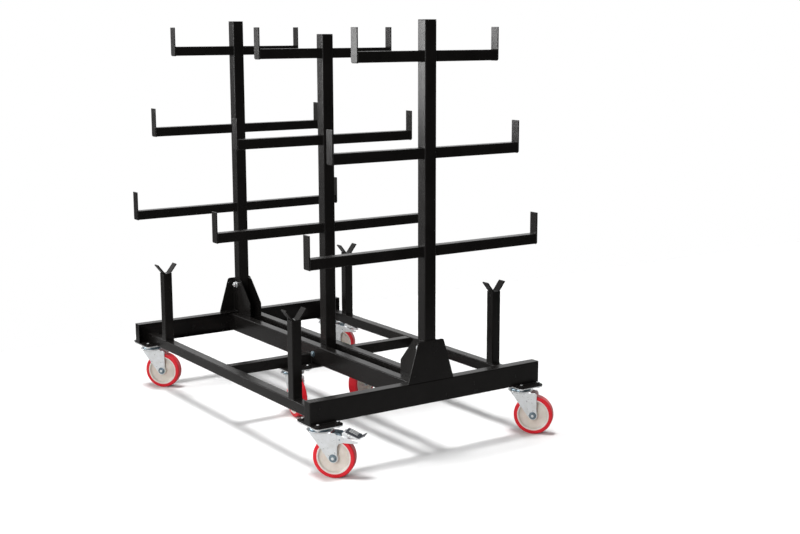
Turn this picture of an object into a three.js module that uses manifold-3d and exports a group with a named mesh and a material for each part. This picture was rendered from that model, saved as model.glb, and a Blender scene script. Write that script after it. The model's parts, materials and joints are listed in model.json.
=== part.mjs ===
// Pipe storage rack on castors: three uprights with double-sided arms on a welded base frame.
// Millimetres, +Z up, +X along the rack's length. The floor is at z = 0.
import * as THREE from 'three';
import Module from 'manifold-3d';
import { mergeVertices } from 'three/addons/utils/BufferGeometryUtils.js';

const wasm = await Module();
wasm.setup();

// Fits
const gap = 0.3; // between two pieces that touch
const cutOverrun = 2; // how far a cutting body runs past the wall that it cuts
const weldSink = 1; // how deep one welded piece is set into the other

// Uprights
const postSize = 48;
const postWall = 3;
const postCorner = 4;
const postSpacing = 718.5; // from the centre of the base to an end upright
const middlePostOffset = 30; // the middle upright stands this far past the centre
const endPostLength = 1278;
const middlePostDrop = 52; // of the middle upright's top below the other two
const capThickness = 3;
const capSpigotDepth = 12;
const capSpigotWall = 2;

// Arms, top level first
const armWidth = 38;
const armHeight = 38;
const armWall = 2.5;
const armCorner = 3;
const topArmReach = 300;
const middleArmReach = 400;
const bottomArmReach = 495;
const armHeightShares = { top: 0.8923, middle: 0.6293, bottom: 0.357 }; // of an end upright's length
const lipHeight = 115;
const lipThickness = 5;
const lipCorner = 6;
const armBeadLeg = 3; // of the weld bead round an arm at the upright's face
const ventRadius = 3;

// Cross members: folded channels with closed ends
const memberHeight = 83;
const memberWidth = 40;
const memberSheet = 4;
const memberHalfLength = 505;

// Spine: two beams with the middle upright between them
const beamWidth = 40;
const beamWall = 3;
const beamCorner = 3;
const beamPostClearance = 0.5;

// Side rails and their cradle posts
const railWidth = 40;
const railHeight = 40;
const railWall = 2.5;
const railCorner = 3;
const railSetback = 41; // of a rail's outer face from the cross members' ends
const cradlePostSize = 38;
const cradlePostSetback = 178; // of a cradle post from the end upright, along the rack
const cradlePostLength = 284;
const prongLength = 45;
const prongHalf = 17; // half of a prong's width
const prongThickness = 5;
const prongInset = 3.5; // of its outer face from the post's face
const prongLean = THREE.MathUtils.degToRad(38);

// Shoes of the end uprights
const shoeSheet = 4;
const shoeHeight = 150;
const shoePlateTopHalf = 55;
const shoePlateFootHalf = 100;
const shoeSideTopReach = 62; // of the side plates' top edge, inwards from the end plate
const shoeSideReach = 151; // of the side plates' foot
const shoeSideEdge = 52; // height of the side plates' upright edge
const shoeBoltRadius = 6;
const shoeBoltClearance = 0.5;
const shoeBoltHeight = 120; // above the shoe's foot
const boltHeadRadius = 11;
const boltHeadHeight = 7.5;

// Castor plates of the frame; the castors' own plates have the same outline
const mountPlateThickness = 5.5;
const mountPlateHalfX = 70;
const mountPlateHalfY = 55;
const mountPlateCorner = 12;
const mountPlateSetback = 4; // from the cross member's end
const mountPlateOverhang = 35; // past the cross member's outer face
const middleCastorX = -6;
const middleCastorY = 148;
const stubWidth = 40;

// Castors
const wheelRadius = 75;
const tyreThickness = 14;
const tyreWidth = 38;
const tyreEdge = 5;
const rimWidth = 34;
const rimThickness = 7;
const webThickness = 9;
const webDish = 3;
const hubRadius = 17;
const hubLength = 42;
const axleRadius = 6;
const axleClearance = 0.1;
const axleHeadRadius = 10;
const axleHeadHeight = 6;
const crownClearance = 15.7; // from the tyre up to the fork's crown
const castorPlateThickness = 3.5;
const castorBoltX = 52.5;
const castorBoltY = 40;
const castorBoltRadius = 5;
const castorBoltClearance = 0.5;
const castorBoltHeadRadius = 9;
const castorBoltHeadHeight = 6;
const raceRadius = 48;
const raceHeight = 10.5;
const raceTaper = 4;
const kingpinRadius = 6;
const kingpinHeadRadius = 12;
const kingpinHeadHeight = 6;
const castorTrail = 51.5;
const forkSheet = 3;
const forkInnerHalf = 23;
const forkFrontReach = 34; // of a cheek, ahead of the kingpin
const forkShoulder = 6; // height of a cheek's upright front edge
const forkBossRadius = 16;
const forkBackReach = 13; // of a cheek's upright back edge, behind the axle
const forkBackHeight = 84; // of that edge's top, above the axle
const crownBackReach = 44; // of the crown, behind the kingpin
const crownBackHeight = 86; // of a cheek's top edge there, above the axle
const forkRaceHeight = 8;

// Brake of a swivel castor: heights are above the axle, reaches behind it
const hornFoot = 56;
const hornFillet = 18;
const hornReach = 78;
const hornTipReach = 86;
const hornTipHeight = 61;
const hornBackReach = 43;
const hornBackHeight = 81;
const pedalPinReach = 36;
const pedalPinHeight = 75;
const pedalPinRadius = 3;
const pedalEyeRadius = 6;
const pedalHeelReach = 40;
const pedalHeelHeight = 95;
const pedalToeReach = 91;
const pedalToeHeight = 73;
const pedalTailReach = 112;
const pedalTailHeight = 86;
const pedalPlateThickness = 6;
const pedalSideClearance = 1;
const brakeShoeReach = 47;
const brakeShoeLength = 9;
const brakeShoeClearance = 8; // from the tyre while the brake is off

// Castors as they stand: the heading of each fork, in degrees from +X
const headings = {
  near_left: 44.3,
  near_right: 41.6,
  far_left: 43.8,
  far_right: 44,
  mid_left: -10.5,
  mid_right: 115,
};
const brakedCastors = ['near_left', 'far_right'];

// Facets
const cornerSteps = 2;
const tyreSteps = 32;
const hubSteps = 20;
const raceSteps = 16;
const roundSteps = 8;
const hexSides = 6;
const arcSteps = 6;

// Heights that follow
const crownTop = 2 * wheelRadius + crownClearance + forkSheet;
const raceFoot = crownTop + forkRaceHeight + gap;
const castorPlateBottom = raceFoot + raceHeight;
const castorHeight = castorPlateBottom + castorPlateThickness;
const mountPlateBottom = castorHeight + gap;
const mountPlateTop = mountPlateBottom + mountPlateThickness;
const memberBottom = mountPlateTop - weldSink;
const memberTop = memberBottom + memberHeight;
const railBottom = mountPlateTop + gap;
const railTop = railBottom + railHeight;
const beamBottom = memberBottom + memberSheet + gap;
const beamTop = memberTop - memberSheet - gap;
const beamInnerY = postSize / 2 + beamPostClearance;
const beamOuterY = beamInnerY + beamWidth;
const postFoot = memberTop + gap;
const middlePostFoot = mountPlateTop + gap;
const middlePostLength = postFoot + endPostLength - middlePostDrop - middlePostFoot;
const shoeInnerX = postSpacing + postSize / 2 + gap;
const memberOuterX = shoeInnerX + shoeSheet;
const memberInnerX = memberOuterX - memberWidth;
const railOuterY = memberHalfLength - railSetback;
const railInnerY = railOuterY - railWidth;
const castorPivotX = memberOuterX + mountPlateOverhang - mountPlateHalfX;
const castorPivotY = memberHalfLength - mountPlateSetback - mountPlateHalfY;

const paint = new THREE.MeshStandardMaterial({ color: 0x141312, roughness: 0.45, metalness: 0.1 });
const capPaint = new THREE.MeshStandardMaterial({ color: 0x191817, roughness: 0.5, metalness: 0.1 });
const zinc = new THREE.MeshStandardMaterial({ color: 0xb9bcbd, roughness: 0.35, metalness: 0.9 });
const redTyre = new THREE.MeshStandardMaterial({ color: 0xb8101c, roughness: 0.4, metalness: 0 });
const nylon = new THREE.MeshStandardMaterial({ color: 0xe6dccb, roughness: 0.5, metalness: 0 });
const pedalPaint = new THREE.MeshStandardMaterial({ color: 0x35383c, roughness: 0.55, metalness: 0.1 });

// A closed geometry as a solid that can be joined and cut
function solidOf(geometry) {
  const bare = geometry.clone();
  bare.deleteAttribute('normal');
  bare.deleteAttribute('uv');
  const merged = mergeVertices(bare);
  const vertProperties = new Float32Array(merged.attributes.position.array);
  const triVerts = new Uint32Array(merged.index.array);
  return new wasm.Manifold(new wasm.Mesh({ numProp: 3, vertProperties, triVerts }));
}

function geometryOf(solid) {
  const mesh = solid.getMesh();
  const geometry = new THREE.BufferGeometry();
  geometry.setAttribute('position', new THREE.BufferAttribute(mesh.vertProperties, mesh.numProp));
  geometry.setIndex(new THREE.BufferAttribute(mesh.triVerts, 1));
  const flat = geometry.toNonIndexed();
  flat.computeVertexNormals();
  return flat;
}

function joined(...geometries) {
  return geometries.map(solidOf).reduce((whole, piece) => whole.add(piece));
}

function cut(solid, ...geometries) {
  return geometries.map(solidOf).reduce((whole, piece) => whole.subtract(piece), solid);
}

function box(x0, x1, y0, y1, z0, z1) {
  const block = new THREE.BoxGeometry(Math.abs(x1 - x0), Math.abs(y1 - y0), z1 - z0);
  return block.translate((x0 + x1) / 2, (y0 + y1) / 2, (z0 + z1) / 2);
}

// A cylinder, or a prism with few sides, between two points of one axis
function rodY(radius, y0, y1, x, z, sides = roundSteps) {
  const rod = new THREE.CylinderGeometry(radius, radius, y1 - y0, sides);
  return rod.translate(x, (y0 + y1) / 2, z);
}

function rodZ(radius, z0, z1, x, y, sides = roundSteps) {
  const rod = new THREE.CylinderGeometry(radius, radius, z1 - z0, sides);
  return rod.rotateX(Math.PI / 2).translate(x, y, (z0 + z1) / 2);
}

function roundedRectangle(width, height, radius) {
  const shape = new THREE.Shape();
  const x = width / 2;
  const y = height / 2;
  shape.moveTo(x - radius, -y);
  shape.absarc(x - radius, -y + radius, radius, -Math.PI / 2, 0, false);
  shape.absarc(x - radius, y - radius, radius, 0, Math.PI / 2, false);
  shape.absarc(-x + radius, y - radius, radius, Math.PI / 2, Math.PI, false);
  shape.absarc(-x + radius, -y + radius, radius, Math.PI, -Math.PI / 2, false);
  shape.closePath();
  return shape;
}

function outline(points) {
  return new THREE.Shape(points.map(([x, y]) => new THREE.Vector2(x, y)));
}

function extrude(shape, length, steps = cornerSteps) {
  return new THREE.ExtrudeGeometry(shape, { depth: length, bevelEnabled: false, curveSegments: steps });
}

function extrudeZ(shape, z0, z1, steps) {
  return extrude(shape, z1 - z0, steps).translate(0, 0, z0);
}

// The section lies in Y and Z, and runs along X
function extrudeX(shape, x0, x1, steps) {
  const turn = new THREE.Matrix4().makeBasis(
    new THREE.Vector3(0, 1, 0),
    new THREE.Vector3(0, 0, 1),
    new THREE.Vector3(1, 0, 0),
  );
  return extrude(shape, x1 - x0, steps).applyMatrix4(turn).translate(x0, 0, 0);
}

// The section lies in X and Z, and runs along Y
function extrudeY(shape, y0, y1, steps) {
  return extrude(shape, Math.abs(y1 - y0), steps).rotateX(Math.PI / 2).translate(0, Math.max(y0, y1), 0);
}

// A box tube with rounded outer edges, open at both ends; run is one of the three above
function tube(run, width, height, wall, radius, from, to) {
  const x = width / 2 - wall;
  const y = height / 2 - wall;
  const bore = outline([[-x, -y], [x, -y], [x, y], [-x, y]]);
  const skin = solidOf(run(roundedRectangle(width, height, radius), from, to));
  return cut(skin, run(bore, from - cutOverrun, to + cutOverrun));
}

// A ring or disc turned about the Y axis from points of [radius, y]
function turnedY(points, steps, z) {
  const profile = [...points, points[0]].map(([radius, y]) => new THREE.Vector2(radius, y));
  const ring = new THREE.LatheGeometry(profile, steps);
  return ring.rotateY(Math.PI / steps).translate(0, 0, z);
}

const rack = new THREE.Group();

function add(group, name, shape, material) {
  const geometry = shape instanceof THREE.BufferGeometry ? shape : geometryOf(shape);
  const mesh = new THREE.Mesh(geometry, material);
  mesh.name = name;
  group.add(mesh);
  return mesh;
}

// Frame

function mountPlate(x, y) {
  const plate = roundedRectangle(2 * mountPlateHalfX, 2 * mountPlateHalfY, mountPlateCorner);
  return extrudeZ(plate, mountPlateBottom, mountPlateTop).translate(x, y, 0);
}

function boltHoles(x, y) {
  const holes = [];
  for (const sideX of [-1, 1]) {
    for (const sideY of [-1, 1]) {
      holes.push(
        rodZ(
          castorBoltRadius + castorBoltClearance,
          mountPlateBottom - cutOverrun,
          mountPlateTop + cutOverrun,
          x + sideX * castorBoltX,
          y + sideY * castorBoltY,
        ),
      );
    }
  }
  return holes;
}

function endMember(end) {
  const outer = end * memberOuterX;
  const inner = end * memberInnerX;
  const folded = box(inner, outer, -memberHalfLength, memberHalfLength, memberBottom, memberTop);
  const insideHalf = memberHalfLength - memberSheet;
  const inside = box(
    end * (memberInnerX - cutOverrun),
    end * (memberOuterX - memberSheet),
    -insideHalf,
    insideHalf,
    memberBottom + memberSheet,
    memberTop - memberSheet,
  );
  let member = cut(solidOf(folded), inside);
  for (const side of [-1, 1]) {
    const x = end * castorPivotX;
    const y = side * castorPivotY;
    member = cut(member.add(solidOf(mountPlate(x, y))), ...boltHoles(x, y));
  }
  return member;
}

function middleMember() {
  const x = middleCastorX;
  const reach = middleCastorY + mountPlateHalfY;
  let member = solidOf(
    extrudeZ(
      roundedRectangle(2 * mountPlateHalfX, 2 * reach, mountPlateCorner),
      mountPlateBottom,
      mountPlateTop,
    ).translate(x, 0, 0),
  );
  const stubX = middlePostOffset - postSize / 2 - gap - stubWidth / 2;
  const stubHeight = railTop - mountPlateTop + weldSink;
  for (const side of [-1, 1]) {
    const length = railInnerY - beamOuterY - 2 * gap;
    const stub = tube(extrudeY, stubWidth, stubHeight, railWall, railCorner, -length / 2, length / 2);
    const stubY = side * (railInnerY + beamOuterY) / 2;
    member = member.add(stub.translate([stubX, stubY, railTop - stubHeight / 2]));
    member = cut(member, ...boltHoles(x, side * middleCastorY));
  }
  return member;
}

add(rack, 'near_cross_member', endMember(1), paint);
add(rack, 'far_cross_member', endMember(-1), paint);
add(rack, 'mid_cross_member', middleMember(), paint);

for (const [name, side] of [['left', -1], ['right', 1]]) {
  const beamHalf = memberOuterX - memberSheet - gap;
  const beamHeight = beamTop - beamBottom;
  const beam = tube(extrudeX, beamWidth, beamHeight, beamWall, beamCorner, -beamHalf, beamHalf);
  const beamY = side * (beamInnerY + beamWidth / 2);
  add(rack, `${name}_spine_beam`, beam, paint).position.set(0, beamY, beamBottom + beamHeight / 2);

  const railHalf = memberInnerX - gap;
  const rail = tube(extrudeX, railWidth, railHeight, railWall, railCorner, -railHalf, railHalf);
  const railY = side * (railOuterY - railWidth / 2);
  add(rack, `${name}_side_rail`, rail, paint).position.set(0, railY, railBottom + railHeight / 2);
}

// Cradle posts on the side rails, each with two flat prongs

function cradlePost() {
  const half = cradlePostSize / 2;
  const boreHalf = half - railWall;
  const foot = railTop + gap;
  const top = foot + cradlePostLength;
  const section = roundedRectangle(cradlePostSize, cradlePostSize, railCorner);
  const bore = box(-boreHalf, boreHalf, -boreHalf, boreHalf, foot - cutOverrun, top - prongThickness);
  let post = cut(solidOf(extrudeZ(section, foot, top)), bore);
  for (const side of [-1, 1]) {
    const near = side < 0 ? 0 : -prongThickness;
    const prong = box(-prongHalf, prongHalf, near, near + prongThickness, -prongThickness, prongLength);
    prong.rotateX(-side * prongLean).translate(0, side * (half - prongInset), top);
    post = post.add(solidOf(prong));
  }
  return post;
}

for (const [endName, end] of [['near', 1], ['far', -1]]) {
  for (const [sideName, side] of [['left', -1], ['right', 1]]) {
    const post = add(rack, `${endName}_${sideName}_cradle_post`, cradlePost(), paint);
    const x = end * (postSpacing - cradlePostSetback);
    post.position.set(x, side * (railOuterY - cradlePostSize / 2), 0);
  }
}

// Uprights with windows for the arms, and their caps

const levels = [
  { name: 'top', reach: topArmReach },
  { name: 'middle', reach: middleArmReach },
  { name: 'bottom', reach: bottomArmReach },
].map((level) => ({ ...level, underside: postFoot + armHeightShares[level.name] * endPostLength }));

const uprights = [
  { name: 'far', x: -postSpacing, foot: postFoot, length: endPostLength, end: -1 },
  { name: 'mid', x: middlePostOffset, foot: middlePostFoot, length: middlePostLength, end: 0 },
  { name: 'near', x: postSpacing, foot: postFoot, length: endPostLength, end: 1 },
];

const shoeBoltZ = postFoot + shoeBoltHeight;

function uprightTube({ foot, length, end }) {
  let post = tube(extrudeZ, postSize, postSize, postWall, postCorner, foot, foot + length);
  const half = postSize / 2 + cutOverrun;
  for (const { underside } of levels) {
    const window = box(
      -armWidth / 2 - gap,
      armWidth / 2 + gap,
      -half,
      half,
      underside - gap,
      underside + armHeight + gap,
    );
    post = cut(post, window);
  }
  return end === 0 ? post : cut(post, rodY(shoeBoltRadius + shoeBoltClearance, -half, half, 0, shoeBoltZ));
}

function cap(top) {
  const lid = extrudeZ(
    roundedRectangle(postSize, postSize, postCorner),
    top + gap,
    top + gap + capThickness,
  );
  const outer = postSize / 2 - postWall - gap;
  const inner = outer - capSpigotWall;
  const plug = box(-outer, outer, -outer, outer, top - capSpigotDepth, top + gap + weldSink);
  const hollow = box(-inner, inner, -inner, inner, top - capSpigotDepth - cutOverrun, top);
  return cut(joined(lid, plug), hollow);
}

// The weld bead round a bar at one face of the upright, as a collar that narrows into the bar
function armBead(side, bore) {
  const root = postSize / 2 + gap;
  const corners = (grow, reach) =>
    [[-1, -1], [-1, 1], [1, 1], [1, -1]].map(([x, z]) => [
      x * (armWidth / 2 + grow),
      side * reach,
      z * (armHeight / 2 + grow),
    ]);
  const collar = wasm.Manifold.hull([
    ...corners(armBeadLeg, root),
    ...corners(-armBeadLeg, root + 2 * armBeadLeg),
  ]);
  return cut(collar, bore);
}

// One bar through the upright with an upright lip at each end
function arm({ underside, reach }) {
  const inner = reach - lipThickness;
  const end = inner + weldSink;
  const bar = tube(extrudeY, armWidth, armHeight, armWall, armCorner, -end, end);
  const width = armWidth / 2;
  const boreX = width - armWall;
  const boreZ = armHeight / 2 - armWall;
  const bore = box(-boreX, boreX, -inner, inner, -boreZ, boreZ);
  const welded = bar.add(armBead(-1, bore)).add(armBead(1, bore));
  let whole = welded.translate([0, 0, underside + armHeight / 2]);
  const lip = new THREE.Shape();
  lip.moveTo(-width, lipHeight);
  lip.lineTo(-width, lipCorner);
  lip.quadraticCurveTo(-width, 0, -width + lipCorner, 0);
  lip.lineTo(width - lipCorner, 0);
  lip.quadraticCurveTo(width, 0, width, lipCorner);
  lip.lineTo(width, lipHeight);
  lip.closePath();
  for (const side of [-1, 1]) {
    const plate = extrudeY(lip, side * inner, side * reach).translate(0, 0, underside);
    whole = whole.add(solidOf(plate));
  }
  return cut(whole, rodZ(ventRadius, underside - cutOverrun, underside + armHeight / 2, 0, 0));
}

for (const upright of uprights) {
  const post = add(rack, `${upright.name}_upright`, uprightTube(upright), paint);
  const lid = add(rack, `${upright.name}_upright_cap`, cap(upright.foot + upright.length), capPaint);
  post.position.x = upright.x;
  lid.position.x = upright.x;
  for (const level of levels) {
    add(rack, `${upright.name}_arm_${level.name}`, arm(level), paint).position.x = upright.x;
  }
}

// Shoes that hold the end uprights, drawn for the near end and turned round for the far end

function shoe() {
  const inner = shoeInnerX - postSpacing;
  const outer = inner + shoeSheet;
  const top = postFoot + shoeHeight;
  const plate = extrudeX(
    outline([
      [-shoePlateFootHalf, postFoot],
      [shoePlateFootHalf, postFoot],
      [shoePlateTopHalf, top],
      [-shoePlateTopHalf, top],
    ]),
    inner,
    outer,
  );
  const side = outline([
    [memberInnerX - postSpacing - gap, postFoot],
    [inner + weldSink, postFoot],
    [inner + weldSink, top],
    [inner - shoeSideTopReach, top],
    [inner - shoeSideReach, postFoot + shoeSideEdge],
    [inner - shoeSideReach, beamTop + gap],
    [memberInnerX - postSpacing - gap, beamTop + gap],
  ]);
  const near = postSize / 2 + gap;
  const plates = joined(
    plate,
    extrudeY(side, near, near + shoeSheet),
    extrudeY(side, -near - shoeSheet, -near),
  );
  const reach = near + shoeSheet + cutOverrun;
  return cut(plates, rodY(shoeBoltRadius + shoeBoltClearance, -reach, reach, 0, shoeBoltZ));
}

function shoeBolt() {
  const seat = postSize / 2 + 2 * gap + shoeSheet;
  return joined(
    rodY(shoeBoltRadius, -seat - weldSink, seat + weldSink, 0, shoeBoltZ),
    rodY(boltHeadRadius, seat, seat + boltHeadHeight, 0, shoeBoltZ, hexSides),
    rodY(boltHeadRadius, -seat - boltHeadHeight, -seat, 0, shoeBoltZ, hexSides),
  );
}

for (const { name, x, end } of uprights.filter((upright) => upright.end !== 0)) {
  const turned = end < 0 ? Math.PI : 0;
  for (const [piece, shape, material] of [['shoe', shoe(), paint], ['shoe_bolt', shoeBolt(), zinc]]) {
    const mesh = add(rack, `${name}_${piece}`, shape, material);
    mesh.position.x = x;
    mesh.rotation.z = turned;
  }
}

// Castors: the fork trails towards +X of its own group, and the axle lies along Y

const axleZ = wheelRadius;

function tyre() {
  const outer = wheelRadius / Math.cos(Math.PI / tyreSteps);
  const inner = wheelRadius - tyreThickness;
  const half = tyreWidth / 2;
  return turnedY(
    [
      [inner, -half],
      [outer - tyreEdge, -half],
      [outer, -half + tyreEdge],
      [outer, half - tyreEdge],
      [outer - tyreEdge, half],
      [inner, half],
    ],
    tyreSteps,
    axleZ,
  ).translate(castorTrail, 0, 0);
}

function wheelCentre() {
  const rim = (wheelRadius - tyreThickness - gap) * Math.cos(Math.PI / tyreSteps);
  const rimInner = rim - rimThickness;
  const web = webThickness / 2;
  const bore = (axleRadius + axleClearance) / Math.cos(Math.PI / hubSteps);
  const half = [
    [bore, hubLength / 2],
    [hubRadius, hubLength / 2],
    [hubRadius + webDish, web + webDish],
    [rimInner - webDish, web],
    [rimInner, rimWidth / 2],
    [rim, rimWidth / 2],
  ];
  const mirrored = half.map(([radius, y]) => [radius, -y]);
  return turnedY([...mirrored, ...half.reverse()], hubSteps, axleZ).translate(castorTrail, 0, 0);
}

// The axle bolt with its nut; a clearance below zero sets both into the fork
function axle(clearance) {
  const seat = forkInnerHalf + forkSheet + clearance;
  const x = castorTrail;
  return joined(
    rodY(axleRadius, -seat - weldSink, seat + weldSink, x, axleZ, hubSteps),
    rodY(axleHeadRadius, seat, seat + axleHeadHeight, x, axleZ, hexSides),
    rodY(axleHeadRadius, -seat - axleHeadHeight, -seat, x, axleZ, hexSides),
  );
}

// The plate with its four bolts and nuts, the upper race and the kingpin
function castorPlate() {
  const plate = roundedRectangle(2 * mountPlateHalfX, 2 * mountPlateHalfY, mountPlateCorner);
  const race = new THREE.CylinderGeometry(raceRadius, raceRadius - raceTaper, raceHeight, raceSteps);
  race.rotateX(Math.PI / 2).translate(0, 0, (raceFoot + castorPlateBottom) / 2);
  const pinHeadTop = crownTop - forkSheet - gap;
  const pieces = [
    extrudeZ(plate, castorPlateBottom, castorHeight),
    race,
    rodZ(kingpinRadius, pinHeadTop - weldSink, castorPlateBottom, 0, 0),
    rodZ(kingpinHeadRadius, pinHeadTop - kingpinHeadHeight, pinHeadTop, 0, 0),
  ];
  const headFoot = castorPlateBottom - castorBoltHeadHeight;
  const nutFoot = mountPlateTop + gap;
  for (const x of [-castorBoltX, castorBoltX]) {
    for (const y of [-castorBoltY, castorBoltY]) {
      pieces.push(
        rodZ(castorBoltRadius, castorPlateBottom - weldSink, nutFoot + weldSink, x, y),
        rodZ(castorBoltHeadRadius, headFoot, castorPlateBottom + weldSink, x, y, hexSides),
        rodZ(castorBoltHeadRadius, nutFoot, nutFoot + castorBoltHeadHeight, x, y, hexSides),
      );
    }
  }
  return joined(...pieces);
}

// One cheek of a fork, in X and Z
function forkCheek(braked) {
  const corner = new THREE.Vector2(-forkFrontReach, crownTop - forkShoulder);
  const axis = new THREE.Vector2(castorTrail, axleZ);
  const fromAxis = corner.clone().sub(axis);
  const tangent = fromAxis.angle() + Math.acos(forkBossRadius / fromAxis.length());
  const bossEnd = 2 * Math.PI + Math.acos(forkBackReach / forkBossRadius);
  const back = castorTrail + forkBackReach;
  const cheek = new THREE.Shape();
  cheek.moveTo(-forkFrontReach, crownTop);
  cheek.lineTo(corner.x, corner.y);
  cheek.absarc(axis.x, axis.y, forkBossRadius, tangent, bossEnd, false);
  if (braked) {
    cheek.lineTo(back, axleZ + hornFoot - hornFillet);
    cheek.quadraticCurveTo(back, axleZ + hornFoot, back + hornFillet, axleZ + hornFoot);
    cheek.lineTo(castorTrail + hornReach, axleZ + hornFoot);
    cheek.lineTo(castorTrail + hornTipReach, axleZ + hornTipHeight);
    cheek.lineTo(castorTrail + hornBackReach, axleZ + hornBackHeight);
  } else {
    cheek.lineTo(back, axleZ + forkBackHeight);
  }
  cheek.lineTo(crownBackReach, axleZ + crownBackHeight);
  cheek.lineTo(crownBackReach, crownTop);
  cheek.closePath();
  return cheek;
}

// Two cheeks bridged by a crown, which carries the lower race
function fork(braked, holdsAxle) {
  const cheek = forkCheek(braked);
  const outer = forkInnerHalf + forkSheet;
  const reach = outer + cutOverrun;
  const race = new THREE.CylinderGeometry(
    raceRadius - raceTaper,
    raceRadius,
    forkRaceHeight + weldSink,
    raceSteps,
  );
  race.rotateX(Math.PI / 2).translate(0, 0, crownTop + (forkRaceHeight - weldSink) / 2);
  const holes = [
    rodZ(
      (kingpinRadius + gap) / Math.cos(Math.PI / roundSteps),
      crownTop - forkSheet - cutOverrun,
      crownTop + forkRaceHeight + cutOverrun,
      0,
      0,
    ),
    rodY(axleRadius + axleClearance, -reach, reach, castorTrail, axleZ, hubSteps),
  ];
  if (braked) {
    const pinX = castorTrail + pedalPinReach;
    holes.push(rodY(pedalPinRadius + gap, -reach, reach, pinX, axleZ + pedalPinHeight));
  }
  const side = forkInnerHalf + weldSink;
  const plates = joined(
    extrudeY(cheek, forkInnerHalf, outer, arcSteps),
    extrudeY(cheek, -outer, -forkInnerHalf, arcSteps),
    box(-forkFrontReach, crownBackReach, -side, side, crownTop - forkSheet, crownTop),
    race,
  );
  const whole = cut(plates, ...holes);
  return holdsAxle ? whole.add(axle(-weldSink)) : whole;
}

// The foot pedal with its pin, its tread and the brake shoe under it
function pedal() {
  const at = (reach, height) => [castorTrail + reach, axleZ + height];
  const half = forkInnerHalf - pedalSideClearance;
  const tread = outline([
    at(pedalHeelReach, pedalHeelHeight - pedalPlateThickness),
    at(pedalToeReach, pedalToeHeight - pedalPlateThickness),
    at(pedalTailReach, pedalTailHeight - pedalPlateThickness / 2),
    at(pedalTailReach - pedalPlateThickness / 2, pedalTailHeight),
    at(pedalToeReach - pedalPlateThickness / 2, pedalToeHeight),
    at(pedalHeelReach, pedalHeelHeight),
  ]);
  const [pinX, pinZ] = at(pedalPinReach, pedalPinHeight);
  const shoeFoot = (reach) => Math.sqrt((wheelRadius + brakeShoeClearance) ** 2 - reach ** 2);
  const lastReach = brakeShoeReach + brakeShoeLength;
  const brakeShoe = outline([
    at(pedalPinReach, pedalPinHeight - pedalEyeRadius),
    at(brakeShoeReach, shoeFoot(brakeShoeReach)),
    at(lastReach, shoeFoot(lastReach)),
    at(lastReach, pedalToeHeight + pedalPlateThickness),
    at(pedalHeelReach, pedalHeelHeight - pedalPlateThickness / 2),
    at(pedalPinReach, pedalPinHeight + pedalEyeRadius),
  ]);
  const pinReach = forkInnerHalf + forkSheet;
  return joined(
    extrudeY(tread, -half, half),
    extrudeY(brakeShoe, -half, half),
    rodY(pedalEyeRadius, -half, half, pinX, pinZ),
    rodY(pedalPinRadius, -pinReach, pinReach, pinX, pinZ),
  );
}

const castorEnds = [
  { end: 'near', x: castorPivotX, y: castorPivotY },
  { end: 'mid', x: middleCastorX, y: middleCastorY },
  { end: 'far', x: -castorPivotX, y: castorPivotY },
];

for (const { end, x, y } of castorEnds) {
  for (const [sideName, side] of [['left', -1], ['right', 1]]) {
    const castor = `${end}_${sideName}`;
    const braked = brakedCastors.includes(castor);
    const axleInFork = end === 'mid'; // as one solid, to stay within the number of pieces
    const seat = new THREE.Group();
    const swivel = new THREE.Group();
    seat.position.set(x, side * y, 0);
    swivel.rotation.z = THREE.MathUtils.degToRad(headings[castor]);
    seat.add(swivel);
    rack.add(seat);
    add(seat, `${castor}_castor_plate`, castorPlate(), zinc);
    add(swivel, `${castor}_fork`, fork(braked, axleInFork), zinc);
    if (!axleInFork) add(swivel, `${castor}_axle`, axle(gap), zinc);
    add(swivel, `${castor}_wheel_centre`, wheelCentre(), nylon);
    add(swivel, `${castor}_tyre`, tyre(), redTyre);
    if (braked) add(swivel, `${castor}_brake_pedal`, pedal(), pedalPaint);
  }
}

// The origin is on the floor under the middle of the whole rack as it stands
const extent = new THREE.Box3().setFromObject(rack, true);
const middle = extent.getCenter(new THREE.Vector3());
rack.position.set(-middle.x, -middle.y, 0);

export default rack;
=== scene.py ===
# %% [markdown]
# # A pipe storage rack on castors
# The rack is a welded steel frame on six castors. Three square uprights stand in a row along the
# middle, and each carries three arms that end in an upright lip on both sides of the rack.
#
# The frame of solids comes first. It already has every piece at its real size and in its place, so
# each finer piece below takes its place, and most of its size, from the solid that it stands for.
# Lengths are written in millimetres, which is how a workshop drawing gives them, and are turned
# into metres at the end.

# %% Load the frame of solids
import json
import math

import bmesh
import bpy
from mathutils import Matrix, Quaternion, Vector


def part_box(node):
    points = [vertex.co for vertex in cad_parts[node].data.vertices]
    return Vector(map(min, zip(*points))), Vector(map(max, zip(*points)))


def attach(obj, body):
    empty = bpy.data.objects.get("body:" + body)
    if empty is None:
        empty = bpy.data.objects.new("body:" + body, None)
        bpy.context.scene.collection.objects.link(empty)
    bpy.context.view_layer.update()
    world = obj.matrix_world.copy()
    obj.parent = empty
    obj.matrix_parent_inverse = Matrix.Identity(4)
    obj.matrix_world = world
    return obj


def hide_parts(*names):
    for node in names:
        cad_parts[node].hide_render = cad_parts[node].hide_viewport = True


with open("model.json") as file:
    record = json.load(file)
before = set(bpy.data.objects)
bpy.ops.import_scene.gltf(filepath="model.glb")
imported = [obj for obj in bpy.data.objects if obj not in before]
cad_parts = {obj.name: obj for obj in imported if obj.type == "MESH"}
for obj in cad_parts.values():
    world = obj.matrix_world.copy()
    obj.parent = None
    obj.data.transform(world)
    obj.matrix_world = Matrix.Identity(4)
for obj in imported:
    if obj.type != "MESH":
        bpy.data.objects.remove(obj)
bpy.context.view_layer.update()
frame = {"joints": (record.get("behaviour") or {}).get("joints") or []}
MM = Matrix.Scale(0.001, 4)

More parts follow.
